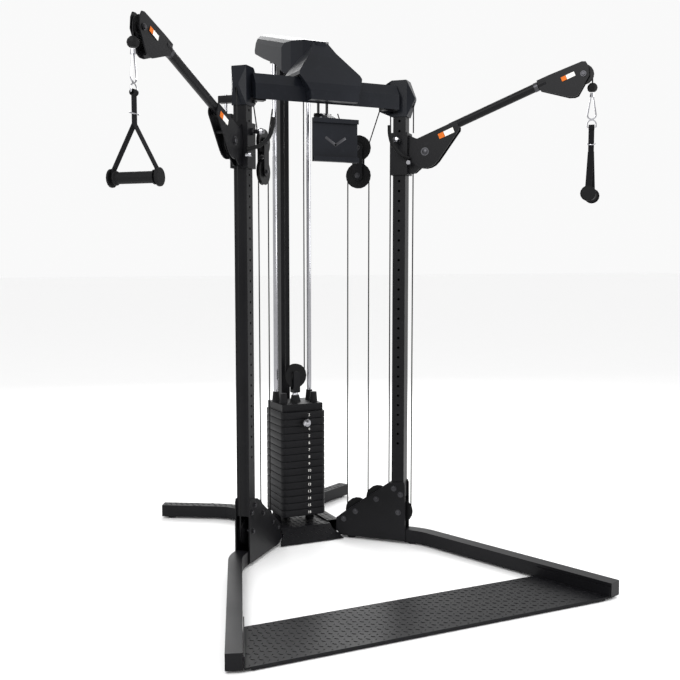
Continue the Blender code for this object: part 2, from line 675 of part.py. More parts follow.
def pulleys():
    places = {"base_pulley": BASE_PULLEY, "front_gusset_pulley": FRONT_GUSSET_PULLEY,
              "rear_gusset_pulley": REAR_GUSSET_PULLEY,
              "block_upper_pulley": (BLOCK_X, BLOCK_UPPER_Z),
              "block_lower_pulley": (BLOCK_X, BLOCK_LOWER_Z)}
    for name, (x, z) in places.items():
        pair(pulley(PULLEY_RADIUS, PULLEY_GROOVE), name, PULLEY_NYLON, (x, 0, z))
    pair(pulley(PIVOT_PULLEY_RADIUS, PIVOT_GROOVE), "pivot_pulley", PULLEY_NYLON,
         (PIVOT[0], 0, PIVOT[1]))
    centre_piece(pulley(PULLEY_RADIUS, PULLEY_GROOVE), "stack_pulley", PULLEY_NYLON,
                 (0, STACK_Y, STACK_PULLEY_Z), STACK_PULLEY_TURN)
    pair(pulley(HEAD_PULLEY_RADIUS, HEAD_PULLEY_GROOVE, 0.015), "head_pulley", PULLEY_NYLON,
         arm_point(*HEAD_PULLEY_AT), ARM_ANGLE)


def floating_blocks():
    """Two cheeks joined between the pulleys, hung in the cable's two loops."""
    span = (BLOCK_UPPER_Z - BLOCK_LOWER_Z) / 2
    outline = arc((0, span), 0.021, 0, 180, 7) + arc((0, -span), 0.021, 180, 360, 7)
    cheeks = [plate(outline, 0.004, "xz", s * 0.0125) for s in (-1, 1)]
    bridge = box((-0.017, -0.012, -0.0025), (0.017, 0.012, 0.0025))
    pair(union(cheeks[0], bridge, cheeks[1]), "block", FRAME_PAINT,
         (BLOCK_X, 0, BLOCK_LOWER_Z + span))


# ---- carriage and arm ---------------------------------------------------------------
def carriages():
    """Sleeve on the column with two cheeks that carry the arm's pivot."""
    sleeve = box((-0.0335, -CARRIAGE_OUT, CARRIAGE_BOTTOM), (0.0345, CARRIAGE_OUT, CARRIAGE_TOP))
    outline = [(0.030, CARRIAGE_TOP - 0.006), (0.058, CARRIAGE_TOP - 0.020)]
    outline += arc(PIVOT, 0.040, 50, -80, 8)
    outline += [(0.060, CARRIAGE_BOTTOM + 0.008), (0.030, CARRIAGE_BOTTOM + 0.004)]
    cheeks = [plate(outline, CHEEK_THICK, "xz", s * CHEEK_MIDDLE) for s in (-1, 1)]
    boss = cylinder((0, -CARRIAGE_OUT - 0.004, PIN_HOLE_Z), 0.013, 0.012, "y", 12)
    body = union(sleeve, *cheeks, boss)
    clear = HALF + 0.0006
    bore = box((-clear, -clear, 1.40), (clear, clear, 1.70))
    pin_bore = cylinder((0, -CARRIAGE_OUT, PIN_HOLE_Z), 0.0050, 0.04, "y", 10)
    body = cut(body, bore, pin_bore)
    body.data.transform(Matrix.Translation((0, 0, -CARRIAGE_BOTTOM)))
    pair(body, "carriage", FRAME_PAINT, (0, 0, CARRIAGE_BOTTOM))

    shaft = cylinder((0, -0.03815, 0), 0.0045, 0.0251, "y", 10)
    knob = turned([(0, -0.082), (0.0095, -0.080), (0.012, -0.070), (0.0065, -0.0450),
                   (0, -0.0450)], (0, 0, 0), "y", 14)
    pair(union(shaft, knob), "carriage_pin", CHROME, (0, 0, PIN_HOLE_Z))


def arm_point(x, z):
    """A point of the arm's frame in the column frame."""
    c, s = math.cos(ARM_ANGLE), math.sin(ARM_ANGLE)
    return (PIVOT[0] + c * x - s * z, 0, PIVOT[1] + s * x + c * z)


def arms():
    """Round tube between two root plates around the pivot, drawn about the pivot."""
    length = ARM_END - ARM_START
    tube = cylinder(((ARM_START + ARM_END) / 2, 0, ARM_LINE), ARM_RADIUS, length, "x", 16)
    bore = cylinder(((ARM_START + ARM_END) / 2 - 0.0025, 0, ARM_LINE), ARM_RADIUS - 0.0025,
                    length - 0.003, "x", 16)
    mouth = cylinder((ARM_START, 0, ARM_LINE), ARM_RADIUS - 0.0025, 0.02, "x", 16)
    way = cylinder((ARM_END, 0, ARM_LINE), 0.0055, 0.02, "x", 10)
    top = ROOT_RADIUS * math.sin(math.radians(112))
    root = arc((0, 0), ROOT_RADIUS, 112, 302, 12) + [(0.150, 0.0204), (0.1545, 0.0300),
                                                    (0.1545, top)]
    plates = [plate(root, 0.004, "xz", s * ROOT_MIDDLE) for s in (-1, 1)]
    stop = cylinder((0.080, 0, -0.010), 0.0055, 2 * ROOT_MIDDLE, "y", 10)
    body = union(cut(tube, bore, mouth, way), *plates, stop)
    pair(body, "arm", FRAME_PAINT, (PIVOT[0], 0, PIVOT[1]), ARM_ANGLE)


HEAD_OUTLINE = [(0.0010, 0.0185), (0.0520, 0.0180), (0.1710, 0.0125), (0.1840, 0.0065),
                (0.1870, -0.0120), (0.1780, -0.0450), (0.1180, -0.0940), (0.1040, -0.0940),
                (0.0850, -0.0861), (0.0010, -0.0200)]


def arm_heads():
    """Swivelling pulley bracket, drawn about the arm tube's end."""
    cheeks = [plate(HEAD_OUTLINE, 0.004, "xz", s * HEAD_CHEEK) for s in (-1, 1)]
    collar = cylinder((0.0150, 0, 0), 0.0190, 0.0290, "x", 16)
    bridge = box((0.088, -HEAD_CHEEK, -0.085), (0.102, HEAD_CHEEK, -0.075))
    body = union(collar, *cheeks, bridge)
    body = cut(body, cylinder((0.015, 0, 0), 0.0055, 0.05, "x", 10))
    pair(body, "arm_head", FRAME_PAINT, arm_point(ARM_END + GAP, ARM_LINE), ARM_ANGLE)


# ---- handle -------------------------------------------------------------------------
def handles():
    """Ball stop and carabiner, hanging from the head's pulley."""
    stop = union(ball((0, 0, BALL_Z - SWING_Z), BALL_RADIUS, 12),
                 cylinder((0, 0, BALL_Z - SWING_Z + 0.0210), CABLE_RADIUS, 0.020, "z", 8))
    cap = box((-0.05, -0.05, -0.05), (0.05, 0.05, 0.0100))
    pair(cut(stop, cap), "ball_stop", RUBBER, (HANDLE_X, 0, SWING_Z))

    low = CLIP_LOW - SWING_Z
    half = 0.0150
    loop = in_xz([(0.0040, -0.0060)] + arc((0, low + half), half, 20, -200, 11)
                 + [(-0.0040, -0.0060)])
    ring_z = STRAP_TOP - SWING_Z + 0.0100
    ring = in_xz([(RING_RADIUS, ring_z - 0.0100)] + arc((0, ring_z), RING_RADIUS, 0, 180, 9)
                 + [(-RING_RADIUS, ring_z - 0.0100)])
    body = union(cylinder((0, 0, -0.0020), 0.0095, 0.0140, "z", 12, 0.0075),
                 wire(loop, 0.0027, True), wire(ring, 0.0023, True))
    pair(body, "clip", CHROME, (HANDLE_X, 0, SWING_Z))
    straps()
    grips()


def straps():
    """Webbing tab on the ring, and the two legs of the triangle down to the grip."""
    fork, grip, top = STRAP_FORK - SWING_Z, GRIP_Z - SWING_Z, STRAP_TOP - SWING_Z
    outer, thick, wide = GRIP_LENGTH / 2 - 0.0135, 0.0035, 0.0100
    eye = cylinder((0, 0, top), 0.0098, 2 * wide, "x", 14)
    body = union(box((-wide, -0.0028, fork - 0.004), (wide, 0.0028, top)), eye)
    body = cut(body, cylinder((0, 0, top), 0.0062, 0.05, "x", 14))
    for s in (-1, 1):
        leg = plate(ribbon([(0.0, fork), (s * outer, grip + 0.024), (s * outer, grip - 0.013)],
                           thick / 2), 2 * wide + 0.002, "yz")
        leg = cut(leg, cylinder((0, s * outer, grip), 0.0103, 0.02, "y", 14))
        body = union(body, leg)
    pair(body, "strap", WEBBING, (HANDLE_X, 0, SWING_Z))


def grips():
    """Grip sleeve with a flange outside the strap at each end."""
    half = GRIP_LENGTH / 2
    inner = half - 0.0185
    profile = [(0, half), (0.022, half), (FLANGE_RADIUS, half - 0.003),
               (FLANGE_RADIUS, half - 0.0085), (0.0100, half - 0.0085), (0.0100, inner),
               (0.0215, inner), (0.0215, inner - 0.004), (GRIP_RADIUS, inner - 0.007)]
    profile = profile + [(r, -h) for r, h in reversed(profile)]
    pair(turned(profile, (0, 0, 0), "y", 16), "grip", RUBBER, (HANDLE_X, 0, GRIP_Z))


# ---- cables -------------------------------------------------------------------------
def tangent_angle(lower, upper, radius):
    """Direction in degrees of the normal shared by two equal wheels touched from below."""
    rise = math.atan2(upper[1] - lower[1], upper[0] - lower[0])
    return math.degrees(rise) - 90


def cables():
    """The arm cable's runs on the frame and round the block, and the stack's cable."""
    g = PULLEY_GROOVE
    front, rear, base = FRONT_GUSSET_PULLEY, REAR_GUSSET_PULLEY, BASE_PULLEY
    # top anchor of the carriage, over the housing pulley, down behind, under the front pulley
    top = TOP_PULLEY
    riser = ([(top[0] + 0.046, CARRIAGE_TOP + GAP)] + arc(top, 0.046, 0, 180, 11)
             + arc(front, g, 0, -180, 11))
    pair(wire(in_xz(riser), CABLE_RADIUS), "riser_cable", CABLE_BLACK)

    # up from the front pulley, over the block's lower pulley, down to the rear pulley
    low = (BLOCK_X, BLOCK_LOWER_Z)
    loop = ([(BLOCK_X + g, front[1] + 0.002)] + arc(low, g, 0, 180, 11)
            + [(BLOCK_X - g, rear[1] + 0.002)])
    pair(wire(in_xz(loop), CABLE_RADIUS), "lower_loop_cable", CABLE_BLACK)

    # under the rear and base pulleys, up the column's outer side, over the pivot pulley
    under = tangent_angle(rear, base, g)
    run = (arc(rear, g, -180, under, 8) + arc(base, g, under, 0, 8)
           + arc(PIVOT, PIVOT_GROOVE, 180, 90 + math.degrees(ARM_ANGLE), 6))
    run.append(arm_point(ARM_START - 0.004, PIVOT_GROOVE)[::2])
    pair(wire(in_xz(run), CABLE_RADIUS), "column_cable", CABLE_BLACK)

    # beam anchor, under the block's upper pulley, up to the hood
    up = (BLOCK_X, BLOCK_UPPER_Z)
    hang = [(-0.0886, 1.7060)] + arc(up, g, 14, -194, 13) + [(-0.262, 1.706)]
    pair(wire(in_xz(hang), CABLE_RADIUS), "upper_loop_cable", CABLE_BLACK)

    # the stack's own loop, from the hood under the stack pulley
    z = STACK_PULLEY_Z
    u = [(g, 1.895)] + arc((0, z), g, 0, -180, 13) + [(-g, 1.895)]
    centre_piece(wire(in_xz(u), CABLE_RADIUS), "stack_cable", CABLE_BLACK, (0, STACK_Y, 0),
                 STACK_PULLEY_TURN)


# ---- tablet tray --------------------------------------------------------------------
def tablet_tray():
    """Tilting tray in front of the beam, with a lip above and below."""
    pivot_y, pivot_z = TRAY_PIVOT
    front = TRAY_Y - pivot_y
    low, high = 1.485 - pivot_z, 1.641 - pivot_z
    section = [(front - 0.016, low), (front - 0.016, low + 0.018), (front - 0.012, low + 0.018),
               (front - 0.012, low + 0.005), (front, low + 0.005), (front, high - 0.005),
               (front - 0.008, high - 0.005), (front - 0.008, high - 0.016),
               (front - 0.012, high - 0.016), (front - 0.012, high), (front + 0.005, high),
               (front + 0.005, low)]
    tray = plate(section, 0.180, "yz")
    bracket = plate([(front + 0.002, -0.070), (front + 0.002, -0.030), (-0.020, 0.0060),
                     (0.006, 0.0060), (0.006, -0.0060), (-0.022, -0.0070), (front + 0.014, -0.045),
                     (front + 0.014, -0.070)], 0.0300, "yz")
    centre_piece(union(tray, bracket), "tablet_tray", COVER_PLASTIC, (0, pivot_y, pivot_z))


columns()
side_bases()
step_plate()
rear_base()
upright_and_rods()
top_frame()
top_cover()
hood()
weight_stack()
pulleys()
floating_blocks()
carriages()
arms()
arm_heads()
handles()
cables()
tablet_tray()
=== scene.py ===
"""Looks of a cable crossover machine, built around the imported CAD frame."""
import bpy
import bmesh
import json
import math
from mathutils import Matrix, Vector

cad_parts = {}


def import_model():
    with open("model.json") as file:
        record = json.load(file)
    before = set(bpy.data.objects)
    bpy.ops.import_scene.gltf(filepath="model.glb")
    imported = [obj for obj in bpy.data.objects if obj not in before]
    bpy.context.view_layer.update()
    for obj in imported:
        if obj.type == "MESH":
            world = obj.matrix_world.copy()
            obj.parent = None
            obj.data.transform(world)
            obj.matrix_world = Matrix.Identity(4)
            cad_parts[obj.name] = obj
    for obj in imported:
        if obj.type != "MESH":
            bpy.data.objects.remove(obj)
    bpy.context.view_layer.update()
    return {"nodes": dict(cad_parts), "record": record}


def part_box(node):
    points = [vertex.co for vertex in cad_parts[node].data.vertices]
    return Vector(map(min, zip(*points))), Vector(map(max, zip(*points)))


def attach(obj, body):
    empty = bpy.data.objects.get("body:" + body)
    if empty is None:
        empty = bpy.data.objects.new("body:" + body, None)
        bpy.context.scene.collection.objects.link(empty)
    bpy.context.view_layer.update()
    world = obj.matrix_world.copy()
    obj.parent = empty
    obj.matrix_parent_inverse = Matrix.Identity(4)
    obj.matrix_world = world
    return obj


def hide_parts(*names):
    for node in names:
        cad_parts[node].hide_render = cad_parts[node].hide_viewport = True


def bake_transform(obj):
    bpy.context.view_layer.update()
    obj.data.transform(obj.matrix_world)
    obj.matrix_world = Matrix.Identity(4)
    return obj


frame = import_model()
NODES = frame["nodes"]
S = math.sqrt(0.5)                 # the columns are turned 45 degrees
SIDES = {"right": 1, "left": -1}
COLUMN_X, COLUMN_Y = 0.3237, 0.0471
ARM = math.radians(22)             # rise of the arms at rest
PIVOT = (0.100, 1.543)             # arm pivot, along and above a column's axes
STACK_Y = COLUMN_Y + 0.302
ROD_X, ROD_BACK = 0.074, 0.027     # guide rods, beside and behind the stem
PITCH = 0.0285                     # from one weight plate to the next
LOWER_PLATES, ALL_PLATES = 13, 15
TUBE_LINE = 0.0475                 # arm tube's centre line above the pivot
TUBE_END = 0.476
HEAD_WHEEL = (0.6375, 0.0165)      # along the arm and above its pivot line
HEAD_GROOVE = 0.031                # radius the cable runs at on the head pulley
BLOCK_X = -0.175                   # floating block, along a column's axes
BLOCK_WHEELS = (1.569, 1.461)
BASE_WHEELS = ((0.005, 0.127), (-0.087, 0.173), (-0.175, 0.115))
GUSSET_FACE = 0.0303               # outer face of a gusset plate
CABLE_R = 0.0024
AXLE_R = 0.0046
PLAN_POINTS = 36                   # points round a weight plate


# ---- camera and light ---------------------------------------------------------------
def camera():
    data = bpy.data.cameras.new("camera")
    data.lens = 49.43
    data.sensor_width = 36
    obj = bpy.data.objects.new("camera", data)
    obj.location = (-1.4576, -3.2254 + COLUMN_Y, 1.1286)
    obj.rotation_euler = (math.radians(90 - 4.893), 0, math.radians(-25.22))
    bpy.context.scene.collection.objects.link(obj)
    bpy.context.scene.camera = obj


def area(name, place, energy, size):
    data = bpy.data.lights.new(name, "AREA")
    data.energy = energy
    data.size = size
    obj = bpy.data.objects.new(name, data)
    obj.location = place
    obj.rotation_euler = (Vector((0, 0, 0.9)) - Vector(place)).to_track_quat("-Z", "Y").to_euler()
    bpy.context.scene.collection.objects.link(obj)


def light():
    world = bpy.data.worlds.new("studio")
    world.use_nodes = True
    world.node_tree.nodes["Background"].inputs["Color"].default_value = (1, 1, 1, 1)
    world.node_tree.nodes["Background"].inputs["Strength"].default_value = 0.95
    bpy.context.scene.world = world
    bpy.context.scene.view_settings.view_transform = "Standard"
    area("key", (-2.6, -2.8, 3.2), 95, 2.2)
    area("fill", (3.2, -2.4, 2.0), 60, 2.0)
    area("rim", (1.0, 3.4, 3.0), 80, 2.4)


# ---- materials ----------------------------------------------------------------------
def material(name, color, rough, metal=0.0, scale=220.0, bump=0.05, vary=0.25):
    """Surface with grain, patchy roughness and faint paler rubs."""
    mat = bpy.data.materials.new(name)
    mat.use_nodes = True
    nodes, links = mat.node_tree.nodes, mat.node_tree.links
    bsdf = nodes["Principled BSDF"]
    bsdf.inputs["Metallic"].default_value = metal
    bsdf.inputs["Specular IOR Level"].default_value = 0.13
    place = nodes.new("ShaderNodeTexCoord").outputs["Object"]
    fine, broad = nodes.new("ShaderNodeTexNoise"), nodes.new("ShaderNodeTexNoise")
    fine.inputs["Scale"].default_value = scale
    fine.inputs["Detail"].default_value = 4
    broad.inputs["Scale"].default_value = 5
    broad.inputs["Detail"].default_value = 6
    for tex in (fine, broad):
        links.new(place, tex.inputs["Vector"])
    ramp = nodes.new("ShaderNodeValToRGB")
    ramp.color_ramp.elements[0].position = 0.3
    ramp.color_ramp.elements[1].position = 0.75
    ramp.color_ramp.elements[0].color = (*[c * (1 - vary) for c in color], 1)
    ramp.color_ramp.elements[1].color = (*[min(1, c * (1 + vary)) for c in color], 1)
    links.new(broad.outputs["Fac"], ramp.inputs["Fac"])
    rub = nodes.new("ShaderNodeTexNoise")
    rub.inputs["Scale"].default_value = 46
    rub.inputs["Detail"].default_value = 8
    links.new(place, rub.inputs["Vector"])
    edge = nodes.new("ShaderNodeMapRange")
    edge.inputs["From Min"].default_value = 0.60
    edge.inputs["From Max"].default_value = 0.74
    edge.inputs["To Max"].default_value = 0.40
    links.new(rub.outputs["Fac"], edge.inputs["Value"])
    worn = nodes.new("ShaderNodeMixRGB")
    worn.inputs["Color2"].default_value = (*[min(1, c * 1.5 + 0.004) for c in color], 1)
    links.new(edge.outputs["Result"], worn.inputs["Fac"])
    links.new(ramp.outputs["Color"], worn.inputs["Color1"])
    links.new(worn.outputs["Color"], bsdf.inputs["Base Color"])
    spread = nodes.new("ShaderNodeMapRange")
    spread.inputs["To Min"].default_value = max(0.03, rough - 0.08)
    spread.inputs["To Max"].default_value = min(1, rough + 0.10)
    links.new(broad.outputs["Fac"], spread.inputs["Value"])
    links.new(spread.outputs["Result"], bsdf.inputs["Roughness"])
    relief = nodes.new("ShaderNodeBump")
    relief.inputs["Strength"].default_value = bump
    relief.inputs["Distance"].default_value = 0.0006
    links.new(fine.outputs["Fac"], relief.inputs["Height"])
    links.new(relief.outputs["Normal"], bsdf.inputs["Normal"])
    return mat


def woven(name, color):
    """Ribbed weave: the product of two crossed waves drives the relief."""
    mat = material(name, color, 0.82)
    nodes, links = mat.node_tree.nodes, mat.node_tree.links
    place = nodes.new("ShaderNodeTexCoord").outputs["Object"]
    waves = []
    for direction in ("Z", "DIAGONAL"):
        wave = nodes.new("ShaderNodeTexWave")
        wave.bands_direction = direction
        wave.inputs["Scale"].default_value = 180
        links.new(place, wave.inputs["Vector"])
        waves.append(wave)
    both = nodes.new("ShaderNodeMath")
    both.operation = "MULTIPLY"
    links.new(waves[0].outputs["Fac"], both.inputs[0])
    links.new(waves[1].outputs["Fac"], both.inputs[1])
    relief = nodes.new("ShaderNodeBump")
    relief.inputs["Strength"].default_value = 0.25
    relief.inputs["Distance"].default_value = 0.0004
    links.new(both.outputs["Value"], relief.inputs["Height"])
    links.new(relief.outputs["Normal"], nodes["Principled BSDF"].inputs["Normal"])
    return mat


PAINT = material("powder_coat", (0.0055, 0.0055, 0.0065), 0.36, 0.0, 700, 0.12)
COVER = material("moulded_cover", (0.0070, 0.0080, 0.0110), 0.30, 0.0, 1100, 0.10)
NYLON = material("pulley_nylon_look", (0.0040, 0.0040, 0.0045), 0.34, 0.0, 500, 0.08)
CHROME = material("polished_chrome", (0.36, 0.36, 0.38), 0.14, 1.0, 300, 0.04, 0.10)
STEEL = material("zinc_bolt", (0.06, 0.06, 0.065), 0.36, 1.0, 400, 0.10)
IRON = material("plate_enamel", (0.0060, 0.0060, 0.0070), 0.46, 0.0, 380, 0.22)
CABLE = material("cable_jacket", (0.0040, 0.0040, 0.0045), 0.36, 0.0, 900, 0.08)
RUBBER = material("moulded_rubber", (0.0050, 0.0050, 0.0055), 0.58, 0.0, 620, 0.16)
WEB = woven("strap_weave", (0.0060, 0.0060, 0.0070))
THREAD = material("thread", (0.10, 0.10, 0.11), 0.8, 0.0, 1500, 0.3)
WHITE = material("label_white", (0.78, 0.77, 0.74), 0.45, 0.0, 300, 0.03, 0.05)
ORANGE = material("label_orange", (0.62, 0.14, 0.012), 0.45, 0.0, 300, 0.03, 0.06)
SLOT_LOOK = {"frame_paint": PAINT, "cover_plastic": COVER, "pulley_nylon": NYLON,
             "chrome": CHROME, "plate_iron": IRON, "cable_black": CABLE, "rubber": RUBBER,
             "webbing": WEB}


# Width of the round on each node's edges.
ROUNDED = {"hood": 0.009, "top_cover": 0.005, "left_base": 0.003, "right_base": 0.003,
           "rear_base": 0.003, "tablet_tray": 0.0015, "left_arm": 0.0012, "right_arm": 0.0012,
           "left_arm_head": 0.0012, "right_arm_head": 0.0012}


def round_edges():
    """Small rounds on the edges of moulded and welded parts."""
    for node, width in ROUNDED.items():
        mod = NODES[node].modifiers.new("rounds", "BEVEL")
        mod.width = width
        mod.segments = 3
        mod.limit_method = "ANGLE"
        mod.angle_limit = math.radians(24)
        mod.use_clamp_overlap = True


def dress_frame():
    for row in frame["record"]["subparts"]:
        obj = NODES[row["node"]]
        look = SLOT_LOOK[row["material_slot"]]
        for slot in obj.material_slots:
            slot.link = "OBJECT"
            slot.material = look


# ---- making pieces ------------------------------------------------------------------
def world(side, x, y, z):
    """A point given along, across and above a column's own axes."""
    sign = SIDES[side]
    return Vector((sign * (COLUMN_X + S * (x + y)), COLUMN_Y + S * (y - x), z))


def along(side, x, y, z):
    """A direction given in a column's own axes."""
    sign = SIDES[side]
    return Vector((sign * S * (x + y), S * (y - x), z))


def on_arm(u, v):
    """Column-frame x and z of a point u along the arm and v above its pivot line."""
    c, s = math.cos(ARM), math.sin(ARM)
    return PIVOT[0] + c * u - s * v, PIVOT[1] + s * u + c * v


def reach(node, side):
    """Lowest and highest of a node along, across and above a column's own axes."""
    sign = SIDES[side]
    out = []
    for v in NODES[node].data.vertices:
        p, q = sign * v.co.x - COLUMN_X, v.co.y - COLUMN_Y
        out.append((S * (p - q), S * (p + q), v.co.z))
    return [min(c) for c in zip(*out)], [max(c) for c in zip(*out)]


def piece(name, bm, look, body, smooth=True):
    bmesh.ops.recalc_face_normals(bm, faces=bm.faces)
    mesh = bpy.data.meshes.new(name)
    bm.to_mesh(mesh)
    bm.free()
    mesh.materials.append(look)
    obj = bpy.data.objects.new(name, mesh)
    bpy.context.scene.collection.objects.link(obj)
    if smooth:
        mesh.polygons.foreach_set("use_smooth", [True] * len(mesh.polygons))
        mesh.set_sharp_from_angle(angle=math.radians(38))
    if body:
        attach(obj, body)
    return obj


def add_rod(bm, a, b, r, r2=None, segments=20):
    a, b = Vector(a), Vector(b)
    d = b - a
    turn = Matrix.Translation((a + b) / 2) @ d.to_track_quat("Z", "Y").to_matrix().to_4x4()
    bmesh.ops.create_cone(bm, cap_ends=True, segments=segments, radius1=r,
                          radius2=r if r2 is None else r2, depth=d.length, matrix=turn)


def add_box(bm, matrix, size, round_by=0.0):
    made = bmesh.ops.create_cube(bm, size=1, matrix=matrix @ Matrix.Diagonal((*size, 1)))
    if round_by:
        edges = list({e for v in made["verts"] for e in v.link_edges})
        bmesh.ops.bevel(bm, geom=edges, offset=round_by, segments=3, profile=0.5,
                        affect="EDGES", clamp_overlap=True)


def add_tube(bm, points, r, segments=10):
    """Tube of round section along the points, its ends closed."""
    points = [Vector(p) for p in points]
    rings = []
    normal = None
    for i, p in enumerate(points):
        d = (points[min(i + 1, len(points) - 1)] - points[max(i - 1, 0)]).normalized()
        if normal is None:
            normal = d.orthogonal().normalized()
        normal = (normal - d * normal.dot(d)).normalized()
        other = d.cross(normal)
        rings.append([bm.verts.new(p + r * (math.cos(a) * normal + math.sin(a) * other))
                      for a in (2 * math.pi * k / segments for k in range(segments))])
    for one, two in zip(rings, rings[1:]):
        for k in range(segments):
            j = (k + 1) % segments
            bm.faces.new((one[k], one[j], two[j], two[k]))
    bm.faces.new(rings[0][::-1])
    bm.faces.new(rings[-1])


def spline(points, steps=8):
    """Smooth line through the points."""
    pts = [Vector(p) for p in points]
    pts = [2 * pts[0] - pts[1]] + pts + [2 * pts[-1] - pts[-2]]
    out = []
    for a, b, c, d in zip(pts, pts[1:], pts[2:], pts[3:]):
        for k in range(steps):
            t = k / steps
            out.append(0.5 * (2 * b + (c - a) * t + (2 * a - 5 * b + 4 * c - d) * t * t
                              + (3 * b - a - 3 * c + d) * t ** 3))
    return out + [pts[-2]]


def add_bolt(bm, at, out, r=0.0065, height=0.0050):
    """Hexagon head on a washer, facing out."""
    at, out = Vector(at), Vector(out).normalized()
    add_rod(bm, at, at + out * 0.0012, r * 1.75, segments=24)
    add_rod(bm, at + out * 0.0012, at + out * (0.0012 + height * 0.75), r * 1.22, segments=6)
    add_rod(bm, at + out * (0.0012 + height * 0.75), at + out * (0.0012 + height), r * 1.22,
            r * 0.95, segments=6)


def bolts(name, body, places, r=0.0065):
    bm = bmesh.new()
    for at, out in places:
        add_bolt(bm, at, out, r)
    return piece(name, bm, STEEL, body)


def axis_matrix(at, x, z):
    x, z = Vector(x).normalized(), Vector(z).normalized()
    y = z.cross(x)
    m = Matrix((x, y, z)).transposed().to_4x4()
    m.translation = at
    return m


# ---- weight stack -------------------------------------------------------------------
def stack_cutter():
    """The stem's and guide rods' bores, cut from every plate."""
    bm = bmesh.new()
    for x, y, r in ((-ROD_X, STACK_Y + ROD_BACK, 0.0105),
                    (ROD_X, STACK_Y + ROD_BACK, 0.0105), (0.0, STACK_Y, 0.0125)):
        add_rod(bm, (x, y, 0.05), (x, y, 0.60), r, segments=24)
    cutter = piece("stack_cutter", bm, IRON, None, False)
    cutter.hide_render = True
    return cutter


def add_slab(bm, at, half_x, half_y, high, corner=0.024, edge=0.0028):
    """Plate with rounded corners in plan and a small round along its rims."""
    rings = []
    for inset, z in ((edge, -high / 2), (edge * 0.3, -high / 2 + edge * 0.3),
                     (0, -high / 2 + edge), (0, high / 2 - edge),
                     (edge * 0.3, high / 2 - edge * 0.3), (edge, high / 2)):
        ring = []
        for k in range(PLAN_POINTS):
            a = 2 * math.pi * (k + 0.5) / PLAN_POINTS
            cx = math.copysign(half_x - corner, math.cos(a))
            cy = math.copysign(half_y - corner, math.sin(a))
            ring.append(bm.verts.new((at[0] + cx + (corner - inset) * math.cos(a),
                                      at[1] + cy + (corner - inset) * math.sin(a), at[2] + z)))
        rings.append(ring)
    for one, two in zip(rings, rings[1:]):
        for k in range(PLAN_POINTS):
            j = (k + 1) % PLAN_POINTS
            bm.faces.new((one[k], one[j], two[j], two[k]))
    bm.faces.new(rings[0][::-1])
    bm.faces.new(rings[-1])


def weight_plates():
    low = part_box("lower_weights")[0].z
    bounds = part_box("lower_weights")
    front, half = bounds[0].y, bounds[1].x
    middle = (bounds[0].y + bounds[1].y) / 2
    cutter = stack_cutter()
    for i in range(ALL_PLATES):
        body = "frame" if i < LOWER_PLATES else "lift"
        bm = bmesh.new()
        z = low + PITCH * (i + 0.5)
        add_slab(bm, (0, middle, z), half, (bounds[1].y - bounds[0].y) / 2, PITCH - 0.0010)
        obj = piece(f"weight_plate_{i + 1}", bm, IRON, None)
        mod = obj.modifiers.new("bores", "BOOLEAN")
        mod.object = cutter
        mod.solver = "EXACT"
        bpy.context.view_layer.objects.active = obj
        bpy.ops.object.modifier_apply(modifier="bores")
        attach(obj, body)
        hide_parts("lower_weights" if i < LOWER_PLATES else "lifted_weights")
        # Painted shade: a dark disc on the plate's front stands in for the shaded inside of the
        # selector pin hole, which is not cut.
        hole_shade = bmesh.new()
        add_rod(hole_shade, (-0.004, front - 0.0004, z), (-0.004, front + 0.003, z), 0.0058)
        piece(f"plate_hole_shade_{i + 1}", hole_shade, CABLE, body)
        number(str(ALL_PLATES + 1 - i), (0.020, front - 0.0005, z), body)
    bpy.data.objects.remove(cutter)


def number(text, at, body):
    curve = bpy.data.curves.new("number_" + text, "FONT")
    curve.body = text
    curve.size = 0.0150
    curve.extrude = 0.0003
    curve.align_x = "CENTER"
    curve.align_y = "CENTER"
    raw = bpy.data.objects.new("raw", curve)
    bpy.context.scene.collection.objects.link(raw)
    bpy.context.view_layer.update()
    mesh = bpy.data.meshes.new_from_object(raw.evaluated_get(
        bpy.context.evaluated_depsgraph_get()))
    bpy.data.objects.remove(raw)
    mesh.transform(Matrix.Translation(at) @ Matrix.Rotation(math.pi / 2, 4, "X"))
    mesh.materials.clear()
    mesh.materials.append(WHITE)
    obj = bpy.data.objects.new("plate_number_" + text, mesh)
    bpy.context.scene.collection.objects.link(obj)
    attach(obj, body)


# ---- cables -------------------------------------------------------------------------
def strand(node):
    """A cable node's own mesh, copied where it lies between the frame and a moving body."""
    obj = bpy.data.objects.new(node + "_run", NODES[node].data.copy())
    bpy.context.scene.collection.objects.link(obj)
    obj.data.materials.clear()
    obj.data.materials.append(CABLE)
    obj.data.polygons.foreach_set("use_smooth", [True] * len(obj.data.polygons))
    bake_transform(obj)
    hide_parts(node)


def cables():
    strand("stack_cable")
    for side in SIDES:
        strand(side + "_lower_loop_cable")
        strand(side + "_column_cable")
        strand(side + "_upper_loop_cable")
        head_cable(side)


def head_cable(side):
    """Run from the arm's tube over the head pulley to the ball."""
    hx, hz = on_arm(*HEAD_WHEEL)
    tube_x, tube_z = on_arm(TUBE_END, TUBE_LINE)
    pts = [world(side, tube_x, 0, tube_z)]
    for k in range(9):
        a = math.pi / 2 + ARM - k / 8 * (math.pi / 2 + ARM)
        pts.append(world(side, hx + HEAD_GROOVE * math.cos(a), 0,
                         hz + HEAD_GROOVE * math.sin(a)))
    bm = bmesh.new()
    add_tube(bm, pts, CABLE_R)
    piece(side + "_head_cable", bm, CABLE, side + "_head_body")
    top = pts[-1]
    low = world(side, hx + HEAD_GROOVE, 0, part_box(side + "_ball_stop")[1].z - 0.002)
    bm = bmesh.new()
    add_tube(bm, [top, low], CABLE_R)
    obj = piece(side + "_handle_cable", bm, CABLE, None)
    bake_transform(obj)


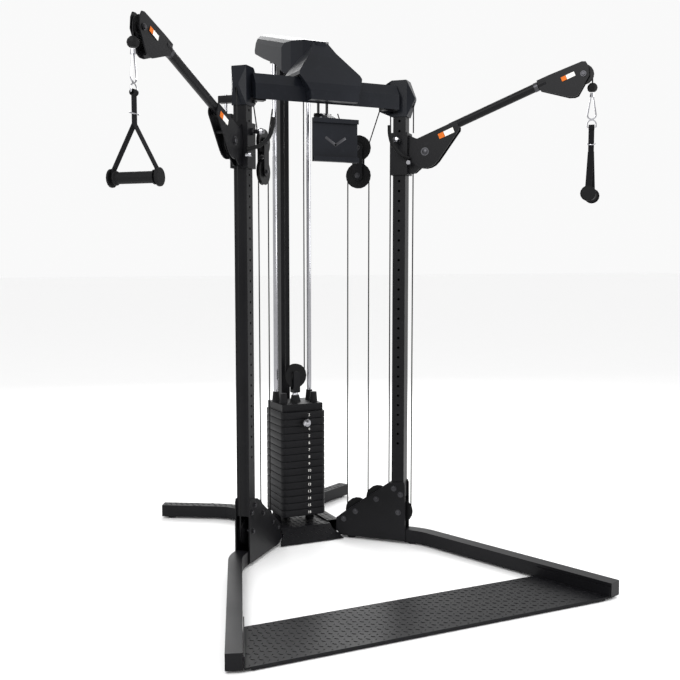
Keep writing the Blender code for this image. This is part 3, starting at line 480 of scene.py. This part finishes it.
# ---- base, tread and pads -----------------------------------------------------------
def tread(node, name):
    """Raised lozenges wherever the node's top is whole under them."""
    obj = NODES[node]
    lo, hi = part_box(node)
    bm = bmesh.new()
    pitch = 0.021
    for i in range(int((hi.x - lo.x) / pitch) + 1):
        for j in range(int((hi.y - lo.y) / pitch) + 1):
            at = Vector((lo.x + i * pitch, lo.y + (j + 0.5 * (i % 2)) * pitch, 0))
            turn = math.radians(45 if (i + j) % 2 else -45)
            a = Vector((math.cos(turn), math.sin(turn), 0))
            b = Vector((-a.y, a.x, 0))
            ring = [at + a * 0.0095, at + b * 0.0032, at - a * 0.0095, at - b * 0.0032]
            hits = [obj.ray_cast(p + Vector((0, 0, hi.z + 0.1)), Vector((0, 0, -1)))
                    for p in [at] + ring]
            if not all(h[0] and h[2].z > 0.2 for h in hits):
                continue
            if max(h[1].z for h in hits) - min(h[1].z for h in hits) > 0.022:
                continue
            base = [bm.verts.new(h[1] - h[2] * 0.0002) for h in hits[1:]]
            top = [bm.verts.new(hits[0][1] + (h[1] - hits[0][1]) * 0.45 + hits[0][2] * 0.0015)
                   for h in hits[1:]]
            bm.faces.new(top)
            for k in range(4):
                bm.faces.new((base[k], base[(k + 1) % 4], top[(k + 1) % 4], top[k]))
    piece(name, bm, PAINT, "frame", False)


def base_details():
    tread("step_plate", "step_tread")
    tread("rear_base", "foot_tread")
    for side in SIDES:
        places, spacer = [], bmesh.new()
        for x, z in BASE_WHEELS:
            for way in (1, -1):
                places.append((world(side, x, way * GUSSET_FACE, z), along(side, 0, way, 0)))
                add_rod(spacer, world(side, x, way * 0.0088, z), world(side, x, way * 0.0250, z),
                        0.0085)
            add_rod(spacer, world(side, x, -0.026, z), world(side, x, 0.026, z), AXLE_R)
        piece(side + "_gusset_spacers", spacer, STEEL, "frame")
        for x, z in ((-0.014, 0.222), (0.014, 0.200), (-0.225, 0.080)):
            for way in (1, -1):
                places.append((world(side, x, way * GUSSET_FACE, z), along(side, 0, way, 0)))
        bolts(side + "_gusset_bolts", "frame", places)


# ---- carriages, arms and handles ----------------------------------------------------
def label(name, side, u, v, length, height, y, body):
    """Two-tone blank label on the arm's near face."""
    c, s = math.cos(ARM), math.sin(ARM)
    x_axis, up = along(side, c, 0, s), along(side, -s, 0, c)
    parts = ((("a", ORANGE, 0.0, 0.36), ("b", WHITE, 0.38, 1.0)) if side == "right"
             else (("a", ORANGE, 0.64, 1.0), ("b", WHITE, 0.0, 0.62)))
    for part, look, low, high in parts:
        at = on_arm(u + length * (low + high) / 2, v)
        bm = bmesh.new()
        out = along(side, 0, -1, 0)
        m = Matrix((x_axis, up, x_axis.cross(up))).transposed().to_4x4()
        m.translation = world(side, at[0], y, at[1]) + out * 0.0004
        add_box(bm, m, (length * (high - low), height, 0.0005))
        piece(f"{name}_{part}", bm, look, body)


def side_details(side):
    carriage, arm = side + "_carriage_body", side + "_arm_body"
    head, block = side + "_head_body", side + "_block_body"
    near = -reach(side + "_arm", side)[0][1]
    cheek = -reach(side + "_arm_head", side)[0][1]
    gap = -reach(side + "_block", side)[0][1]
    label(side + "_arm_label", side, 0.070, 0.030, 0.062, 0.020, -near, arm)
    label(side + "_head_label", side, 0.560, 0.030, 0.050, 0.016, -cheek, head)
    px, pz = PIVOT
    bolts(side + "_pivot_bolt", arm, [(world(side, px, w * near, pz), along(side, 0, w, 0))
                                      for w in (1, -1)], 0.0090)
    hx, hz = on_arm(*HEAD_WHEEL)
    bolts(side + "_head_bolts", head, [(world(side, hx, w * cheek, hz), along(side, 0, w, 0))
                                       for w in (1, -1)], 0.0060)
    bolts(side + "_block_bolts", block,
          [(world(side, BLOCK_X, w * gap, z), along(side, 0, w, 0))
           for w in (1, -1) for z in BLOCK_WHEELS], 0.0062)
    bm = bmesh.new()
    for z in BLOCK_WHEELS:
        add_rod(bm, world(side, BLOCK_X, -gap, z), world(side, BLOCK_X, gap, z), AXLE_R)
    piece(side + "_block_axles", bm, STEEL, block)
    bm = bmesh.new()
    add_tube(bm, spline([world(side, -0.014, -0.112, 1.635), world(side, -0.013, -0.110, 1.600),
                         world(side, -0.004, -0.099, 1.562), world(side, 0.016, -0.072, 1.534),
                         world(side, 0.034, -0.044, 1.522), world(side, 0.040, -0.0338, 1.520)]),
             0.0070, 14)
    piece(side + "_release_lever", bm, RUBBER, carriage)
    bm = bmesh.new()
    add_rod(bm, world(side, 0.045, -0.0338, 1.500), world(side, 0.045, -0.047, 1.500), 0.0075,
            0.0060)
    add_rod(bm, world(side, 0.045, -0.047, 1.500), world(side, 0.045, -0.056, 1.500), 0.0095,
            0.0080)
    piece(side + "_stop_pin", bm, CHROME, carriage)
    tube_ring(side, arm)
    strap_details(side)


def accessory_bracket():
    """Small hook bracket behind the left column's head."""
    bm = bmesh.new()
    m = axis_matrix(world("left", -0.004, 0.060, 1.7050), along("left", 1, 0, 0), (0, 0, 1))
    add_box(bm, m, (0.030, 0.068, 0.026), 0.003)
    low = axis_matrix(world("left", -0.004, 0.062, 1.6420), along("left", 1, 0, 0), (0, 0, 1))
    add_box(bm, low, (0.024, 0.044, 0.022), 0.003)
    piece("accessory_bracket", bm, PAINT, "frame")
    bm = bmesh.new()
    add_rod(bm, world("left", -0.004, 0.068, 1.632), world("left", -0.004, 0.068, 1.722), 0.0050)
    piece("accessory_rod", bm, CHROME, "frame")


def tube_ring(side, body):
    """Zinc-steel ring near the outer end of the arm's tube."""
    a, b = on_arm(TUBE_END - 0.016, TUBE_LINE), on_arm(TUBE_END - 0.002, TUBE_LINE)
    bm = bmesh.new()
    add_rod(bm, world(side, a[0], 0, a[1]), world(side, b[0], 0, b[1]), 0.0172, segments=32)
    piece(side + "_tube_ring", bm, STEEL, body)


def strap_details(side):
    """Stitch rows on the strap's neck and a keeper at its fork."""
    body = side + "_handle"
    hx = on_arm(*HEAD_WHEEL)[0] + HEAD_GROOVE
    bm = bmesh.new()
    for column in (-0.0085, 0.0085):
        for k in range(9):
            z = 1.594 - k * 0.0055
            hit = stitch_place(side, hx, column, z)
            if hit is not None:
                m = Matrix.Translation(hit)
                add_box(bm, m, (0.0012, 0.0012, 0.0032))
    if bm.verts:
        piece(side + "_strap_stitches", bm, THREAD, body)
    else:
        bm.free()
    ring = []
    for k in range(25):
        a = 2 * math.pi * k / 24
        ring.append(world(side, hx + 0.0135 * math.cos(a), 0.0135 * math.sin(a),
                          1.548 + 0.004 * math.sin(a)))
    bm = bmesh.new()
    add_tube(bm, ring, 0.0022, 8)
    piece(side + "_strap_keeper", bm, CHROME, body)


def stitch_place(side, x, y, z):
    """Where a stitch meets the strap, looked for from two sides."""
    strap = NODES[side + "_strap"]
    for dx, dy in ((1, 0), (0, 1)):
        away = along(side, dx, dy, 0)
        start = world(side, x + (0 if dx else y), (y if dx else 0), z) + away * 0.06
        hit = strap.ray_cast(start, -away)
        if hit[0]:
            return hit[1]
    return None


# ---- tray and top -------------------------------------------------------------------
def top_details():
    lo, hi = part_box("tablet_tray")
    pivot = Vector((0, COLUMN_Y + 0.022, 1.668))
    bm = bmesh.new()
    add_rod(bm, pivot + Vector((-0.029, 0, 0)), pivot + Vector((0.029, 0, 0)), 0.0042)
    for w in (-1, 1):
        add_rod(bm, pivot + Vector((w * 0.0205, 0, 0)), pivot + Vector((w * 0.034, 0, 0)), 0.0085,
                0.0070)
    piece("tray_knobs", bm, RUBBER, "frame")
    bm = bmesh.new()
    for dx, turn in ((-0.018, 0.6), (0.020, -0.6)):
        m = Matrix.Translation((dx, lo.y + 0.0155, (lo.z + hi.z) / 2 - 0.020))
        add_box(bm, m @ Matrix.Rotation(turn, 4, "Y"), (0.052, 0.0008, 0.010), 0.0003)
    piece("tray_mark", bm, STEEL, "tray")
    bm = bmesh.new()
    add_rod(bm, (0, STACK_Y, 0.5700), (0, STACK_Y, 0.5800), 0.0140, 0.0140, 6)
    add_rod(bm, (0, STACK_Y, 0.5800), (0, STACK_Y, 0.5900), 0.0125, 0.0095)
    piece("stem_nut", bm, CHROME, "lift")


def floor():
    bm = bmesh.new()
    bmesh.ops.create_grid(bm, x_segments=1, y_segments=1, size=60)
    obj = piece("studio_floor", bm, material("floor", (0.97, 0.97, 0.97), 0.9, 0, 60, 0.02, 0.004),
                None)
    obj.location.z = -0.0006


camera()
light()
floor()
dress_frame()
round_edges()
weight_plates()
cables()
base_details()
for one in SIDES:
    side_details(one)
top_details()
accessory_bracket()
